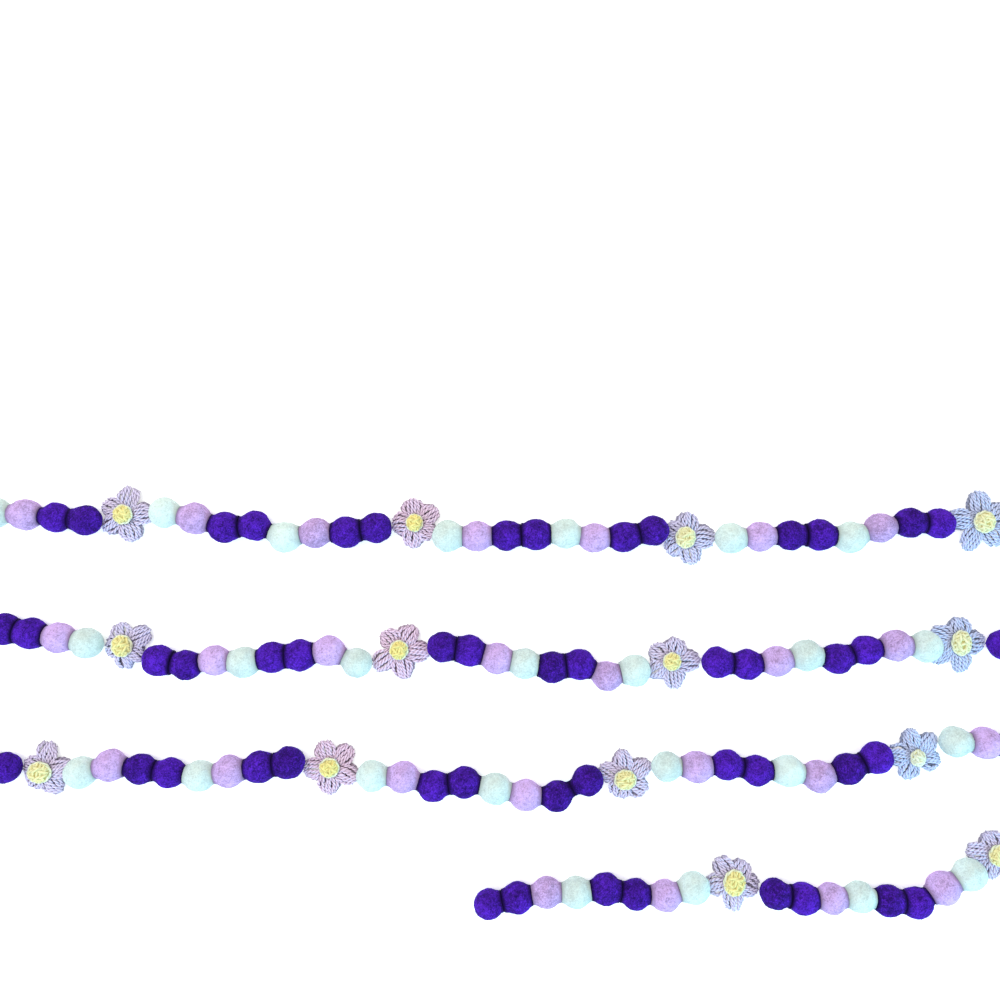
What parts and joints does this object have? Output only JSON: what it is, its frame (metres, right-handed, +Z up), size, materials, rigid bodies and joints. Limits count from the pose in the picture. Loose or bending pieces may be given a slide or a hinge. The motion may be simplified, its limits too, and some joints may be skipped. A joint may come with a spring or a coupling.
{
  "type": "felt ball and yarn flower garland",
  "caption": "Garland of felted wool balls in mint, lilac and violet with looped-yarn flowers between them, strung on a thread and laid back and forth in rows.",
  "frame": {"origin": "middle of the laid garland's footprint, on the surface it lies on", "axes": "+X along the rows, +Y across them towards the row where the garland starts, +Z up"},
  "size_m": [0.9536, 0.3212, 0.0209],
  "materials": {
    "felt_violet": "felted wool, matt and fuzzy",
    "felt_lilac": "felted wool, matt and fuzzy",
    "felt_mint": "felted wool, matt and fuzzy",
    "petal_yarn": "plied yarn, soft and matt",
    "button_yarn": "plied yarn, soft and matt"
  },
  "bodies": {
    "root": {"balls_01": "felt_violet", "balls_02": "felt_violet", "balls_03": "felt_violet", "balls_04": "felt_violet", "balls_05": "felt_violet", "balls_06": "felt_violet", "balls_07": "felt_violet", "balls_08": "felt_violet", "balls_09": "felt_violet", "balls_10": "felt_violet", "balls_11": "felt_violet", "balls_12": "felt_violet", "balls_13": "felt_violet", "balls_14": "felt_violet", "balls_15": "felt_violet", "balls_16": "felt_violet", "petals_01": "petal_yarn", "petals_02": "petal_yarn", "petals_03": "petal_yarn", "petals_04": "petal_yarn", "petals_05": "petal_yarn", "petals_06": "petal_yarn", "petals_07": "petal_yarn", "petals_08": "petal_yarn", "petals_09": "petal_yarn", "petals_10": "petal_yarn", "petals_11": "petal_yarn", "petals_12": "petal_yarn", "petals_13": "petal_yarn", "petals_14": "petal_yarn", "petals_15": "petal_yarn", "button_01": "button_yarn", "button_02": "button_yarn", "button_03": "button_yarn", "button_04": "button_yarn", "button_05": "button_yarn", "button_06": "button_yarn", "button_07": "button_yarn", "button_08": "button_yarn", "button_09": "button_yarn", "button_10": "button_yarn", "button_11": "button_yarn", "button_12": "button_yarn", "button_13": "button_yarn", "button_14": "button_yarn", "button_15": "button_yarn"}
  },
  "joints": []
}
